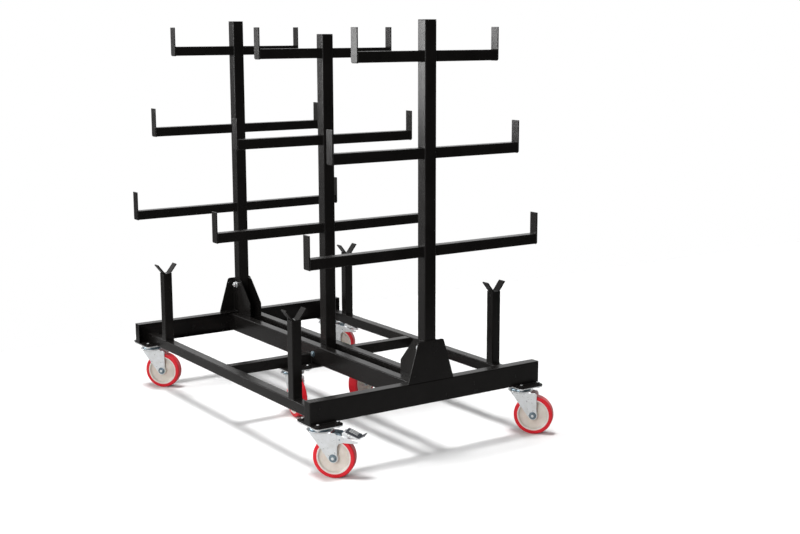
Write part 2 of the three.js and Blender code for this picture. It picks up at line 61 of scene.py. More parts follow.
# %% [markdown]
# ## The camera
# The photograph was taken from about standing eye height, off the near left corner, with a longish
# lens. A camera is placed by where it stands and by the direction in which it looks. Both are given
# here from the middle of the base, which lies halfway between the two end uprights.


# %% Find the middle of the base
def solid_box(node):
    """The lowest corner, the highest corner and the middle of a solid, in millimetres."""
    low, high = (corner * 1000 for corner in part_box(node))
    return low, high, (low + high) / 2


middle = (solid_box("near_upright")[2] + solid_box("far_upright")[2]) / 2
BASE = Vector((middle.x, middle.y, 0))
print("middle of the base, mm:", tuple(round(v, 2) for v in BASE))

# %% Place the camera
eye = (BASE + Vector((4478.6, -2665.5, 1532.9))) / 1000
yaw, pitch, roll = 0.59592, 0.18044, -0.00207
look = Vector(
    (-math.cos(yaw) * math.cos(pitch), math.sin(yaw) * math.cos(pitch), -math.sin(pitch))
)
camera_data = bpy.data.cameras.new("camera")
camera_data.sensor_width = 36
camera_data.lens = 59.097
camera = bpy.data.objects.new("camera", camera_data)
camera.location = eye
level_view = look.to_track_quat("-Z", "Y")
camera.rotation_euler = (level_view @ Quaternion((0, 0, 1), roll)).to_euler()
bpy.context.scene.collection.objects.link(camera)
bpy.context.scene.camera = camera
print("camera stands at, m:", tuple(round(v, 3) for v in eye))

# %% [markdown]
# ## Patterns that several finishes share
# Finishes are built from shader nodes. A few kinds of node come up again and again, so each gets a
# short function that makes it and says what goes in.


# %% Helpers for nodes
def feed(tree, socket, value):
    """Link a socket to another one, or set it to a number, a colour or a direction."""
    if isinstance(value, bpy.types.NodeSocket):
        tree.links.new(value, socket)
    else:
        socket.default_value = value


def group_node(tree, group, **values):
    node = tree.nodes.new("ShaderNodeGroup")
    node.node_tree = group
    for socket, value in values.items():
        feed(tree, node.inputs[socket], value)
    return node


def math_node(tree, operation, first, other):
    node = tree.nodes.new("ShaderNodeMath")
    node.operation = operation
    feed(tree, node.inputs[0], first)
    feed(tree, node.inputs[1], other)
    return node.outputs["Value"]


def dot_node(tree, first, other):
    node = tree.nodes.new("ShaderNodeVectorMath")
    node.operation = "DOT_PRODUCT"
    feed(tree, node.inputs[0], first)
    feed(tree, node.inputs[1], other)
    return node.outputs["Value"]


def mix_node(tree, share, first, other, kind="FLOAT"):
    node = tree.nodes.new("ShaderNodeMix")
    node.data_type = kind
    for socket, value in (("Factor", share), ("A", first), ("B", other)):
        feed(tree, node.inputs[socket], value)
    return node.outputs["Result"]


def ramp_node(tree, value, start, end, low=0.0, high=1.0):
    """A number that runs from low to high as value runs from start to end."""
    node = tree.nodes.new("ShaderNodeMapRange")
    sockets = ("Value", "From Min", "From Max", "To Min", "To Max")
    for socket, given in zip(sockets, (value, start, end, low, high)):
        feed(tree, node.inputs[socket], given)
    return node.outputs["Result"]


# %% [markdown]
# No surface is one flat value. Powder coat has a fine orange peel, zinc plate is cloudy, and a
# moulded wheel is a little uneven. All of these start from the same idea, a noise that is squeezed
# between two values, so it is built once as a node group and placed in each material.


# %% A noise between two values
def new_group(name, sockets, output):
    """An empty group for numbers, the sockets that it is given and the one for its result."""
    group = bpy.data.node_groups.new(name, "ShaderNodeTree")
    for label, value in sockets:
        socket = group.interface.new_socket(label, in_out="INPUT", socket_type="NodeSocketFloat")
        socket.default_value = value
    group.interface.new_socket(output, in_out="OUTPUT", socket_type="NodeSocketFloat")
    given = group.nodes.new("NodeGroupInput").outputs
    return group, given, group.nodes.new("NodeGroupOutput").inputs[output]


def make_cloud_group():
    sockets = [("Scale", 20.0), ("Detail", 3.0), ("Low", 0.0), ("High", 1.0)]
    group, given, result = new_group("cloud", sockets, "Value")
    place = group.nodes.new("ShaderNodeTexCoord")
    noise = group.nodes.new("ShaderNodeTexNoise")
    values = (
        ("Vector", place.outputs["Object"]), ("Scale", given["Scale"]),
        ("Detail", given["Detail"]), ("Roughness", 0.55),
    )
    for socket, value in values:
        feed(group, noise.inputs[socket], value)
    squeezed = ramp_node(group, noise.outputs["Fac"], 0.3, 0.7, given["Low"], given["High"])
    group.links.new(squeezed, result)
    return group


cloud_group = make_cloud_group()
print("made the group", cloud_group.name)

# %% [markdown]
# The second group finds the edges. The Bevel node gives the normal that the surface would have with
# rounder edges, and where that differs from the true normal there is an edge. Paint gets thin
# there, and the lighter colour that the edges get is also a painted highlight, the light a round
# edge catches.

# %% A mask of the edges
ROUNDING = 0.0015


def make_edge_group():
    group, given, mask = new_group("edge", [("Breakup", 60.0), ("Amount", 1.0)], "Mask")
    rounded = group.nodes.new("ShaderNodeBevel")
    rounded.samples = 4
    rounded.inputs["Radius"].default_value = ROUNDING
    true = group.nodes.new("ShaderNodeNewGeometry")
    likeness = dot_node(group, rounded.outputs["Normal"], true.outputs["Normal"])
    found = ramp_node(group, likeness, 0.995, 0.90)
    clouds = group_node(group, cloud_group, Low=0.2, Scale=given["Breakup"])
    # The mask is for thin paint at the edges and for a painted highlight along them.
    wear_and_sheen = math_node(group, "MULTIPLY", found, clouds.outputs["Value"])
    group.links.new(math_node(group, "MULTIPLY", wear_and_sheen, given["Amount"]), mask)
    return group


edge_group = make_edge_group()
print("made the group", edge_group.name)

# %% [markdown]
# ## Finishes
# Each finish is one Principled shader. What is the same all over is set on the shader itself, and
# only what changes over the surface comes in through a link: the colour, the roughness and a fine
# bump. One helper makes them all, because they differ only in their values.

# %% Make a finish
BUMP_DEPTH = 0.0002
FINER = 2.3


def make_finish(name, colour, second, patch, rough, fine, edge=None, **constant):
    """Two colours in patches, a range of roughness in finer ones, a bump and a lighter edge colour.

    fine is the scale and strength of the bump, edge the colour and amount of the edges' wear and
    painted highlight.
    """
    material = bpy.data.materials.new(name)
    material.use_nodes = True
    tree = material.node_tree
    shader = tree.nodes["Principled BSDF"]
    for socket, value in constant.items():
        shader.inputs[socket.replace("_", " ")].default_value = value

    def cloud(scale, detail, low, high):
        node = group_node(tree, cloud_group, Scale=scale, Detail=detail, Low=low, High=high)
        return node.outputs["Value"]

    shade = mix_node(tree, cloud(patch, 4, 0, 1), (*colour, 1), (*second, 1), "RGBA")
    # A lighter colour on the edges: worn paint, and a painted highlight along them.
    if edge:
        wear_and_sheen = group_node(tree, edge_group, Amount=edge[1])
        shade = mix_node(tree, wear_and_sheen.outputs["Mask"], shade, (*edge[0], 1), "RGBA")
    tree.links.new(shade, shader.inputs["Base Color"])
    tree.links.new(cloud(patch * FINER, 3, *rough), shader.inputs["Roughness"])
    bump = tree.nodes.new("ShaderNodeBump")
    bump.inputs["Strength"].default_value = fine[1]
    bump.inputs["Distance"].default_value = BUMP_DEPTH
    tree.links.new(cloud(fine[0], 2, 0, 1), bump.inputs["Height"])
    tree.links.new(bump.outputs["Normal"], shader.inputs["Normal"])
    return material


# %% [markdown]
# The frame is black powder coat with a soft gloss. It looks black where it faces the dark side of
# the room and grey where it mirrors the bright side. The castors are zinc plated, their tyres are
# red polyurethane, and the wheel centres are ivory nylon.

# %% The finishes of the rack
# Its lighter grey edges are partly worn paint and partly a painted highlight.
paint = make_finish(
    "black_powder_coat", (0.0070, 0.0064, 0.0060), (0.0105, 0.0096, 0.0090), 9, (0.20, 0.28),
    (900, 0.12), edge=((0.045, 0.043, 0.042), 0.5), Specular_IOR_Level=0.11,
)
cap_finish = make_finish(
    "black_cap", (0.010, 0.009, 0.009), (0.014, 0.013, 0.012), 30, (0.42, 0.52), (700, 0.2),
    Specular_IOR_Level=0.2,
)
# The brighter edge colour of the zinc is a painted highlight.
zinc = make_finish(
    "zinc_plate", (0.72, 0.73, 0.72), (0.83, 0.85, 0.87), 45, (0.26, 0.42), (500, 0.15),
    edge=((0.88, 0.89, 0.89), 0.6), Metallic=0.75,
)
# A darker, bluer copy of the zinc: painted shade and a painted bluish reflection, used for the
# races, the nuts, the fork bridge and the middle bolt.
zinc_painted_shade_reflection = make_finish(
    "zinc_painted_shade_reflection", (0.13, 0.18, 0.21), (0.26, 0.32, 0.36), 60, (0.30, 0.45), (500, 0.2),
    Metallic=0.8,
)
tyre_red = make_finish(
    "red_polyurethane", (0.72, 0.016, 0.026), (0.79, 0.024, 0.038), 25, (0.28, 0.38), (350, 0.1),
    Specular_IOR_Level=0.3,
)
nylon = make_finish(
    "ivory_nylon", (0.70, 0.61, 0.54), (0.80, 0.73, 0.66), 35, (0.40, 0.55), (600, 0.15),
    Subsurface_Weight=0.1,
)
# The rim ridge's nylon is tinted pink and made lighter as painted light: red light thrown from the
# tyre, and a painted highlight.
rim_nylon_painted_light = make_finish(
    "rim_nylon_painted_light", (0.86, 0.73, 0.68), (0.92, 0.82, 0.77), 35, (0.38, 0.5), (600, 0.1),
    Subsurface_Weight=0.1,
)
pedal_grey = make_finish(
    "dark_pedal", (0.030, 0.034, 0.042), (0.045, 0.050, 0.060), 60, (0.45, 0.6), (800, 0.3),
)

# %% [markdown]
# ## Helpers for every piece
# A mesh is made with bmesh operators and then becomes a piece: its doubles are merged, its faces
# are turned outwards, it is shaded smooth up to a sharp angle, and it is hung on the body that it
# moves with. A Weighted Normal modifier keeps the large flat faces flat next to rounded edges.

# %% Turn a mesh into a piece
MERGE = 0.005
SHARP = math.radians(35)
BENT = math.radians(30)


def make_piece(name, bm, material, body, replaces=(), place=Matrix()):
    bmesh.ops.remove_doubles(bm, verts=bm.verts, dist=MERGE)
    bmesh.ops.recalc_face_normals(bm, faces=bm.faces)
    bmesh.ops.transform(bm, matrix=MM @ place, verts=bm.verts)
    mesh = bpy.data.meshes.new(name)
    bm.to_mesh(mesh)
    bm.free()
    mesh.polygons.foreach_set("use_smooth", [True] * len(mesh.polygons))
    mesh.set_sharp_from_angle(angle=SHARP)
    mesh.materials.append(material)
    piece = bpy.data.objects.new(name, mesh)
    bpy.context.scene.collection.objects.link(piece)
    normals = piece.modifiers.new("even_normals", "WEIGHTED_NORMAL")
    normals.keep_sharp = True
    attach(piece, body)
    if replaces:
        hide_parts(*replaces)


# %% [markdown]
# Real edges are never perfectly sharp, and the thin line of light along them is what makes metal
# look solid. So nearly every shape below ends with a small bevel on its sharp edges.


# %% Round the sharp edges, and move and join meshes
def soften(bm, width, segments=2, chosen=None):
    """Bevel the edges that turn by more than BENT, or only those of them that chosen picks."""
    bmesh.ops.recalc_face_normals(bm, faces=bm.faces)
    edges = [e for e in bm.edges if len(e.link_faces) == 2 and e.calc_face_angle() > BENT]
    if chosen:
        edges = [e for e in edges if chosen(e)]
    bmesh.ops.bevel(
        bm, geom=edges, offset=width, segments=segments, profile=0.5, affect="EDGES", material=-1,
        clamp_overlap=True,
    )
    return bm


def moved(bm, place):
    bmesh.ops.transform(bm, matrix=place, verts=bm.verts)
    return bm


def put(target, part, place=Matrix()):
    """Add the mesh part to target, moved by place."""
    mesh = bpy.data.meshes.new("part")
    moved(part, place).to_mesh(mesh)
    part.free()
    target.from_mesh(mesh)
    bpy.data.meshes.remove(mesh)
    return target


def at(x=0, y=0, z=0):
    return Matrix.Translation((x, y, z))


# %% [markdown]
# Shapes are drawn lying flat and then turned. STAND raises what was drawn along Y, LAY points what
# stood along Z to the right and FLIP turns it upside down, while ALONG_X and ALONG_Y lay a tube
# down. OUTWARD points the head of a bolt to the left or the right side.

# %% Turns
STAND = Matrix.Rotation(math.pi / 2, 4, "X")
LAY = Matrix.Rotation(-math.pi / 2, 4, "X")
FLIP = Matrix.Rotation(math.pi, 4, "X")
ALONG_X = Matrix(((0, 0, 1, 0), (1, 0, 0, 0), (0, 1, 0, 0), (0, 0, 0, 1)))
ALONG_Y = Matrix(((1, 0, 0, 0), (0, 0, 1, 0), (0, -1, 0, 0), (0, 0, 0, 1)))
SIDES = (-1, 1)
OUTWARD = {-1: STAND, 1: LAY}

# %% [markdown]
# Three shapes make almost the whole rack: a flat plate cut to an outline, a square tube, and a
# ring or disc that is turned on a lathe. The plate is one face that is extruded. Its corners are
# rounded first, while they are still single points, which costs one bevel.


# %% A flat plate cut to an outline
def flat_face(outline):
    """A mesh of one face, and the points of its outline."""
    bm = bmesh.new()
    ring = [bm.verts.new((x, y, 0)) for x, y in outline]
    bm.faces.new(ring)
    return bm, ring


def round_off(bm, points, radius, segments):
    bmesh.ops.bevel(
        bm, geom=points, offset=radius, segments=segments, profile=0.5, affect="VERTICES",
        material=-1,
    )


def draw_out(bm, depth):
    """Extrude every face upwards."""
    grown = bmesh.ops.extrude_face_region(bm, geom=bm.faces[:])
    lifted = [v for v in grown["geom"] if isinstance(v, bmesh.types.BMVert)]
    bmesh.ops.translate(bm, vec=(0, 0, depth), verts=lifted)


def plate(outline, depth, corners, edge, arc=4):
    """outline lies in X and Y, depth runs up from 0; corners maps a point's place to its radius."""
    bm, ring = flat_face(outline)
    for place, radius in (corners or {}).items():
        round_off(bm, [ring[place]], radius, arc)
    draw_out(bm, depth)
    if edge:
        soften(bm, edge)
    return bm


def across(outline, width, edge=0.5):
    """A plate that stands in X and Z, with its width to both sides of the middle."""
    return moved(plate(outline, width, None, edge), at(y=width / 2) @ STAND)


def rectangle(width, height):
    x, y = width / 2, height / 2
    return [(-x, -y), (x, -y), (x, y), (-x, y)]


def all_four(radius):
    return dict.fromkeys(range(4), radius)


# %% [markdown]
# A cold-formed tube has a rounded corner outside and a tighter one inside. Its end is a face with
# rounded corners, inset by the thickness of the wall. The inner part of that face is deleted, and
# the ring that stays is drawn out to the tube's length.


# %% A square tube
def square_tube(width, height, length, wall, radius):
    """A tube that runs along Z from 0, centred on it, open at both ends."""
    bm, ring = flat_face(rectangle(width, height))
    round_off(bm, ring, radius, 5)
    whole = bm.faces[:]
    bmesh.ops.inset_region(
        bm, faces=whole, thickness=wall, use_boundary=True, use_even_offset=True
    )
    bmesh.ops.delete(bm, geom=whole, context="FACES_ONLY")
    draw_out(bm, length)
    return soften(bm, 0.4, chosen=lambda e: abs(e.verts[0].co.z - e.verts[1].co.z) < 0.1)


# %% A ring or disc from the lathe
def turned(profile, steps, closed=True):
    """Turn points of (radius, height) about the Z axis; an open profile starts and ends on it."""
    bm = bmesh.new()
    points = [bm.verts.new((radius, 0, height)) for radius, height in profile]
    pairs = list(zip(points, points[1:]))
    if closed:
        pairs.append((points[-1], points[0]))
    edges = [bm.edges.new(pair) for pair in pairs]
    bmesh.ops.spin(
        bm, geom=points + edges, cent=(0, 0, 0), axis=(0, 0, 1), angle=2 * math.pi, steps=steps,
        use_merge=True,
    )
    bmesh.ops.remove_doubles(bm, verts=bm.verts, dist=MERGE)
    return bm


def rod(radius, low, high, steps):
    return turned([(0, low), (radius, low), (radius, high), (0, high)], steps, closed=False)


# %% [markdown]
# Bolts are seen all round the castors and on the shoes. A hexagon head is a short cylinder with six
# sides, chamfered where the flats meet the top, on a thin washer. The end of the bolt shows past
# the nut.

# %% A hexagon head or nut on its washer
WASHER_SHARE, THREAD_SHARE = 0.62, 0.28
THREAD_CHAMFER = 0.6


def hexagon(across_corners, height, washer, stub=0.0):
    """It stands up along Z from 0. stub is how far the bolt's end shows above it."""
    bm = bmesh.new()
    bmesh.ops.create_cone(
        bm, cap_ends=True, segments=6, radius1=across_corners / 2, radius2=across_corners / 2,
        depth=height, matrix=at(z=height / 2 + washer),
    )
    soften(bm, 0.6)
    put(bm, soften(rod(across_corners * WASHER_SHARE, 0, washer, 32), 0.25))
    if stub:
        radius = across_corners * THREAD_SHARE
        top = height + washer + stub
        chamfer = [(radius, top - THREAD_CHAMFER), (radius - THREAD_CHAMFER, top)]
        end = [(0, height), (radius, height), *chamfer, (0, top)]
        put(bm, turned(end, 20, closed=False))
    return bm


# %% [markdown]
# The rack is welded, so a small bead runs wherever two pieces meet. A welder lays it in steps, and
# each step leaves a ripple. The bead is a thin rod, cut into short rings that are swollen in turn.
# Its middle lies a little inside the edge that it follows.

# %% A weld bead between two points
RIPPLE = 2.4
NARROW_END, WIDE_RING, TIGHT_RING = 0.55, 1.08, 0.86
BEAD, SHOE_BEAD, MOUNT_BEAD = 2.2, 2.4, 2.6
SINK, DEEP_SINK = 0.5, 0.6


def bead(start, end, radius=BEAD):
    start, end = Vector(start), Vector(end)
    run = end - start
    cuts = max(2, int(run.length / RIPPLE) * 2)
    bm = bmesh.new()
    bmesh.ops.create_cone(
        bm, cap_ends=True, segments=8, radius1=radius, radius2=radius, depth=run.length
    )
    long_edges = [
        e for e in bm.edges if abs(e.verts[0].co.z - e.verts[1].co.z) > run.length / 2
    ]
    bmesh.ops.subdivide_edges(bm, edges=long_edges, cuts=cuts)
    for vert in bm.verts:
        step = round((vert.co.z / run.length + 0.5) * (cuts + 1))
        swell = NARROW_END if step in (0, cuts + 1) else (WIDE_RING if step % 2 else TIGHT_RING)
        vert.co.x *= swell
        vert.co.y *= swell
    turn = run.to_track_quat("Z", "Y").to_matrix().to_4x4()
    return moved(bm, Matrix.Translation((start + end) / 2) @ turn)


def weld_loop(bm, corners):
    """A bead round a closed loop of corners."""
    for start, end in zip(corners, corners[1:] + corners[:1]):
        put(bm, bead(start, end))


# %% [markdown]
# ## The uprights and their caps
# Each upright is one length of 48 mm square tube with a 3 mm wall. A cap is pressed into its top.
# The three are alike except for their height and foot, so a loop reads each one's box and fills it.

# %% Uprights and caps
UPRIGHTS = ("far", "mid", "near")
POST_WALL, POST_CORNER = 3, 4.5
LID, PLUG = 3, 41
for name in UPRIGHTS:
    low, high, centre = solid_box(f"{name}_upright")
    foot = at(centre.x, centre.y, low.z)
    tube = square_tube(*(high - low), POST_WALL, POST_CORNER)
    make_piece(f"{name}_post", tube, paint, "rack", [f"{name}_upright"], foot)
    low, high, _ = solid_box(f"{name}_upright_cap")
    wide, deep, tall = high - low
    cap = plate(rectangle(wide, deep), LID, all_four(POST_CORNER), 1.0)
    put(cap, plate(rectangle(PLUG, PLUG), tall - 1, None, 0.4), at(z=LID - tall))
    top = at(centre.x, centre.y, high.z - LID)
    make_piece(f"{name}_post_cap", cap, cap_finish, "rack", [f"{name}_upright_cap"], top)
    print(name, "upright reaches", round(high.z), "mm")

# %% [markdown]
# ## The arms
# An arm is a 38 mm square tube that passes through its upright. A flat bar is welded to each end
# and stands up as a lip, which keeps the pipes from rolling off. Its lower corners are rounded.
# The bar and its lips are one piece, as they are after welding, and the beads are another.

# %% Arms with their lips
LEVELS = ("top", "middle", "bottom")
ARM, ARM_WALL, ARM_CORNER = 38, 2.5, 3.5
LIP_SHEET = 5
LIP_CORNERS = {0: 6, 1: 6, 2: 1.5, 3: 1.5}
for name in UPRIGHTS:
    post_low, post_high, _ = solid_box(f"{name}_upright")
    for level in LEVELS:
        low, high, centre = solid_box(f"{name}_arm_{level}")
        reach = (high.y - low.y) / 2
        axis_z = low.z + ARM / 2
        bar = square_tube(ARM, ARM, 2 * (reach - LIP_SHEET), ARM_WALL, ARM_CORNER)
        moved(bar, at(centre.x, centre.y - reach + LIP_SHEET, axis_z) @ ALONG_Y)
        for side in SIDES:
            lip = plate(rectangle(ARM, high.z - low.z), LIP_SHEET, LIP_CORNERS, 0.7)
            y = centre.y + side * reach - (LIP_SHEET if side > 0 else 0)
            put(bar, lip, at(centre.x, y, centre.z) @ STAND @ at(z=-LIP_SHEET))
        make_piece(f"{name}_{level}_arm", bar, paint, "rack", [f"{name}_arm_{level}"])
        beads = bmesh.new()
        loop = rectangle(ARM - 2 * DEEP_SINK, ARM - 2 * DEEP_SINK)
        for side in SIDES:
            for run in ((post_high.y - post_low.y) / 2, reach - LIP_SHEET):
                y = centre.y + side * run
                weld_loop(beads, [(centre.x + x, y, axis_z + z) for x, z in loop])
        make_piece(f"{name}_{level}_arm_welds", beads, paint, "rack")
print("arms:", len(UPRIGHTS) * len(LEVELS))

# %% [markdown]
# ## The base frame
# The end cross members are folded channels. A box is opened on its inner side: that face is inset
# by the sheet's thickness and pushed back to the web, which leaves four walls and a web. The folded
# edges get a larger radius than cut ones. A plate for a castor is welded under each end.

# %% End cross members with their castor plates
ENDS = (("near", 1), ("far", -1))
SHEET = 4
FOLD = 4.5
MEMBER_WIDE, MEMBER_HIGH = 40, 83
MOUNT = 5.5
PLATE_LONG, PLATE_WIDE, PLATE_CORNER = 140, 110, 12
MOUNT_WELD = 100
for name, outward in ENDS:
    low, high, _ = solid_box(f"{name}_cross_member")
    web = solid_box(f"{name}_shoe")[1 if outward > 0 else 0].x
    bottom = high.z - MEMBER_HIGH
    size = Vector((MEMBER_WIDE, high.y - low.y, MEMBER_HIGH))
    centre = Vector((web - outward * size.x / 2, (low.y + high.y) / 2, (bottom + high.z) / 2))
    member = bmesh.new()
    box = Matrix.Translation(centre) @ Matrix.Diagonal((*size, 1))
    bmesh.ops.create_cube(member, size=1, matrix=box)
    inner = [f for f in member.faces if f.normal.x * outward < -0.9]
    bmesh.ops.inset_region(member, faces=inner, thickness=SHEET, use_even_offset=True)
    push = (outward * (size.x - SHEET), 0, 0)
    bmesh.ops.translate(member, vec=push, verts=inner[0].verts)
    soften(member, FOLD, 4, lambda e: all((v.co.x - web) * outward > -0.1 for v in e.verts))
    soften(member, 0.6)
    beads = bmesh.new()
    for side in ("left", "right"):
        _, _, seat = solid_box(f"{name}_{side}_castor_plate")
        mount = plate(rectangle(PLATE_LONG, PLATE_WIDE), MOUNT, all_four(PLATE_CORNER), 0.8)
        put(member, mount, at(seat.x, seat.y, low.z))
        start, end, z = seat.y - MOUNT_WELD / 2, seat.y + MOUNT_WELD / 2, bottom + SINK
        for x in (web - outward * SINK, web - outward * (size.x - SINK)):
            put(beads, bead((x, start, z), (x, end, z), MOUNT_BEAD))
    make_piece(f"{name}_end_member", member, paint, "rack", [f"{name}_cross_member"])
    make_piece(f"{name}_end_member_welds", beads, paint, "rack")
    print(name, "cross member", round(size.y), "mm long")

# %% [markdown]
# Two spine beams run side by side along the middle, with the middle upright dropped between them.
# The side rails are smaller tubes. All four run along X.

# %% Spine beams and side rails
RAIL_WALL, RAIL_CORNER = 2.5, 4
KINDS = (("spine_beam", POST_WALL, POST_CORNER), ("side_rail", RAIL_WALL, RAIL_CORNER))
for side in ("left", "right"):
    for kind, wall, radius in KINDS:
        node = f"{side}_{kind}"
        low, high, centre = solid_box(node)
        long, wide, tall = high - low
        tube = square_tube(wide, tall, long, wall, radius)
        place = at(low.x, centre.y, centre.z) @ ALONG_X
        make_piece(f"{node}_tube", tube, paint, "rack", [node], place)
        print(side, kind, round(long), "mm long")

# %% [markdown]
# Under the middle upright lies a plate that carries the two middle castors, and a short tube on
# each side ties the spine to the side rails.

# %% The middle cross member
GAP = 0.3
STUB = 40
low, high, _ = solid_box("mid_cross_member")
post_low, _, mid_post = solid_box("mid_upright")
_, beam_high, beam = solid_box("right_spine_beam")
beam_face = beam_high.y - BASE.y
half_span = (high.y - low.y) / 2
left_plate, right_plate = (solid_box(f"mid_{side}_castor_plate") for side in ("left", "right"))
outline = rectangle(PLATE_LONG, right_plate[1].y - left_plate[0].y)
member = plate(outline, MOUNT, all_four(PLATE_CORNER), 0.8)
moved(member, at(low.x + PLATE_LONG / 2, BASE.y, low.z))
stub_x = post_low.x - GAP - STUB / 2
stub_bottom = low.z + MOUNT - 1
for side in SIDES:
    stub = square_tube(STUB, high.z - stub_bottom, half_span - beam_face, RAIL_WALL, RAIL_CORNER)
    start = BASE.y + beam_face if side > 0 else low.y
    put(member, stub, at(stub_x, start, (stub_bottom + high.z) / 2) @ ALONG_Y)
make_piece("middle_member", member, paint, "rack", ["mid_cross_member"])
beads = bmesh.new()
edge_x = STUB / 2 - SINK
for side in SIDES:
    for y in (BASE.y + side * (beam_face + SINK), BASE.y + side * (half_span - SINK)):
        top = high.z - SINK
        put(beads, bead((stub_x - edge_x + SINK, y, top), (stub_x + edge_x - SINK, y, top)))
        for x in (stub_x - edge_x, stub_x + edge_x):
            put(beads, bead((x, y, stub_bottom + 2), (x, y, high.z - 1)))
make_piece("middle_member_welds", beads, paint, "rack")
print("middle cross member", round(2 * half_span), "mm long")

# %% [markdown]
# ## The cradle posts
# Four short posts stand on the side rails. Each has a bent flat bar on top, whose two prongs open
# into a V that holds a pipe. The bar is drawn as one outline, seen from the end, with its bends
# rounded, and then given its width.

# %% Cradle posts
CORNERS = ("near_left", "near_right", "far_left", "far_right")
LEAN = math.radians(38)
PRONG, PRONG_ROOT = 45, 15.5
SADDLE = 34
rise, run = PRONG * math.cos(LEAN), PRONG * math.sin(LEAN)
aside, up = LIP_SHEET * math.cos(LEAN), LIP_SHEET * math.sin(LEAN)
inner = PRONG_ROOT - LIP_SHEET / math.cos(LEAN)
tip = PRONG_ROOT + run
half_saddle = [
    (ARM / 2, -LIP_SHEET), (ARM / 2, 0), (PRONG_ROOT, 0), (tip, rise), (tip - aside, rise + up),
    (inner, 0),
]
SADDLE_OUTLINE = half_saddle + [(-x, z) for x, z in reversed(half_saddle)]
for corner in CORNERS:
    low, high, centre = solid_box(f"{corner}_cradle_post")
    top = high.z - low.z - rise
    post = square_tube(ARM, ARM, top - LIP_SHEET, ARM_WALL, ARM_CORNER)
    saddle = plate(SADDLE_OUTLINE, SADDLE, {2: 0.8, 5: 2.5, 6: 2.5}, 0.6)
    put(post, saddle, at(-SADDLE / 2, 0, top) @ ALONG_X)
    foot = at(centre.x, centre.y, low.z)
    make_piece(f"{corner}_cradle", post, paint, "rack", [f"{corner}_cradle_post"], foot)
    beads = bmesh.new()
    loop = rectangle(ARM - 2 * SINK, ARM - 2 * SINK)
    weld_loop(beads, [(centre.x + x, centre.y + y, low.z + SINK) for x, y in loop])
    make_piece(f"{corner}_cradle_welds", beads, paint, "rack")
print("cradle posts:", len(CORNERS))

# %% [markdown]
# ## The shoes
# Each end upright stands in a shoe: a tapered end plate, level with the face of the cross member,
# and two side plates that reach back over the spine. A bolt goes through all of them.

# %% Shoes and their cross bolts
SHOE_HIGH = 150
SHOE_FRONT = [(-100, 0), (100, 0), (55, SHOE_HIGH), (-55, SHOE_HIGH)]
STEP, SHOULDER, TAIL, TAIL_HIGH = 35.7, 62, 151, 52
BOLT_RADIUS, BOLT_HALF, BOLT_LIFT = 6, 32, 1
for name, outward in ENDS:
    low, high, _ = solid_box(f"{name}_shoe")
    post_x = solid_box(f"{name}_upright")[2].x
    foot = solid_box(f"{name}_cross_member")[1].z
    face = (high.x if outward > 0 else -low.x) - outward * post_x
    inner = face - SHEET
    shoe = moved(plate(SHOE_FRONT, SHEET, {2: 8, 3: 8}, 0.6), at(inner, 0, foot) @ ALONG_X)
    back = low.z - foot
    outline = [
        (inner - STEP, 0), (inner, 0), (inner, SHOE_HIGH), (inner - SHOULDER, SHOE_HIGH),
        (inner - TAIL, TAIL_HIGH), (inner - TAIL, back), (inner - STEP, back),
    ]
    for side in SIDES:
        wall = plate(outline, SHEET, {3: 8, 4: 4}, 0.6)
        y = side * inner + (SHEET if side > 0 else 0)
        put(shoe, wall, at(0, y, foot) @ STAND)
    turn = at(post_x, BASE.y, 0) @ Matrix.Rotation(0 if outward > 0 else math.pi, 4, "Z")
    make_piece(f"{name}_shoe_plates", shoe, paint, "rack", [f"{name}_shoe"], turn)
    beads = bmesh.new()
    z = foot + DEEP_SINK
    put(beads, bead((inner, -98, z), (inner, 98, z), SHOE_BEAD))
    for side in SIDES:
        y = side * (inner + SHEET)
        put(beads, bead((inner - 34, y, z), (inner - 2, y, z), SHOE_BEAD))
        put(beads, bead((inner, y, foot + 2), (inner, y, foot + SHOE_HIGH - 2)))
    make_piece(f"{name}_shoe_welds", beads, paint, "rack", place=turn)
    centre = solid_box(f"{name}_shoe_bolt")[2]
    bolt = rod(BOLT_RADIUS, -BOLT_HALF, BOLT_HALF, 24)
    for side in SIDES:
        head = hexagon(22, 9, washer=2.5, stub=4)
        put(bolt, head, at(y=side * (inner + SHEET)) @ OUTWARD[side])
    place = Matrix.Translation(centre) @ at(z=BOLT_LIFT)
    make_piece(f"{name}_through_bolt", bolt, zinc, "rack", [f"{name}_shoe_bolt"], place)
print("shoes:", len(ENDS))

# %% [markdown]
# The middle upright is held by a bolt through both spine beams. Only its head and nut show.

# %% The middle upright's bolt
BOLT_BACK = 12
bolt = bmesh.new()
for side in SIDES:
    put(bolt, hexagon(20, 5.5, washer=1.5), at(y=side * beam_face) @ OUTWARD[side])
place = at(mid_post.x - BOLT_BACK, BASE.y, beam.z)
# The bolt gets the darker zinc: painted shade.
make_piece("mid_through_bolt", bolt, zinc_painted_shade_reflection, "rack", place=place)

# %% [markdown]
# ## The wheels
# A wheel is an ivory nylon centre with a red polyurethane tyre cast round it. Both are turned on
# the lathe: a profile of a few points, spun through a full circle. The wheel's own axis is Z here,
# and a matrix then lays it on its axle.

# %% Tyre and wheel centre
TYRE_INNER, TYRE_OUTER, TYRE_HALF = 61, 75, 19
TREAD_CORNER = 5
CENTRE_PROFILE = [
    (6.2, 21), (14, 21), (16.5, 20), (18, 17), (19.5, 10.5), (23, 9), (25, 9.4), (27, 8.6),
    (41, 6.5), (48, 7.5), (52.5, 10.5), (54.5, 15), (55.5, 17), (60.7, 17),
]
RIDGE_PROFILE = [(55.4, 16), (56, 18.2), (57.5, 19.3), (60, 19.2), (61, 18.4), (61, 16)]


def mirrored(profile):
    """A profile and its mirror image, as one loop that starts on the lower side."""
    return [(r, -h) for r, h in profile] + profile[::-1]


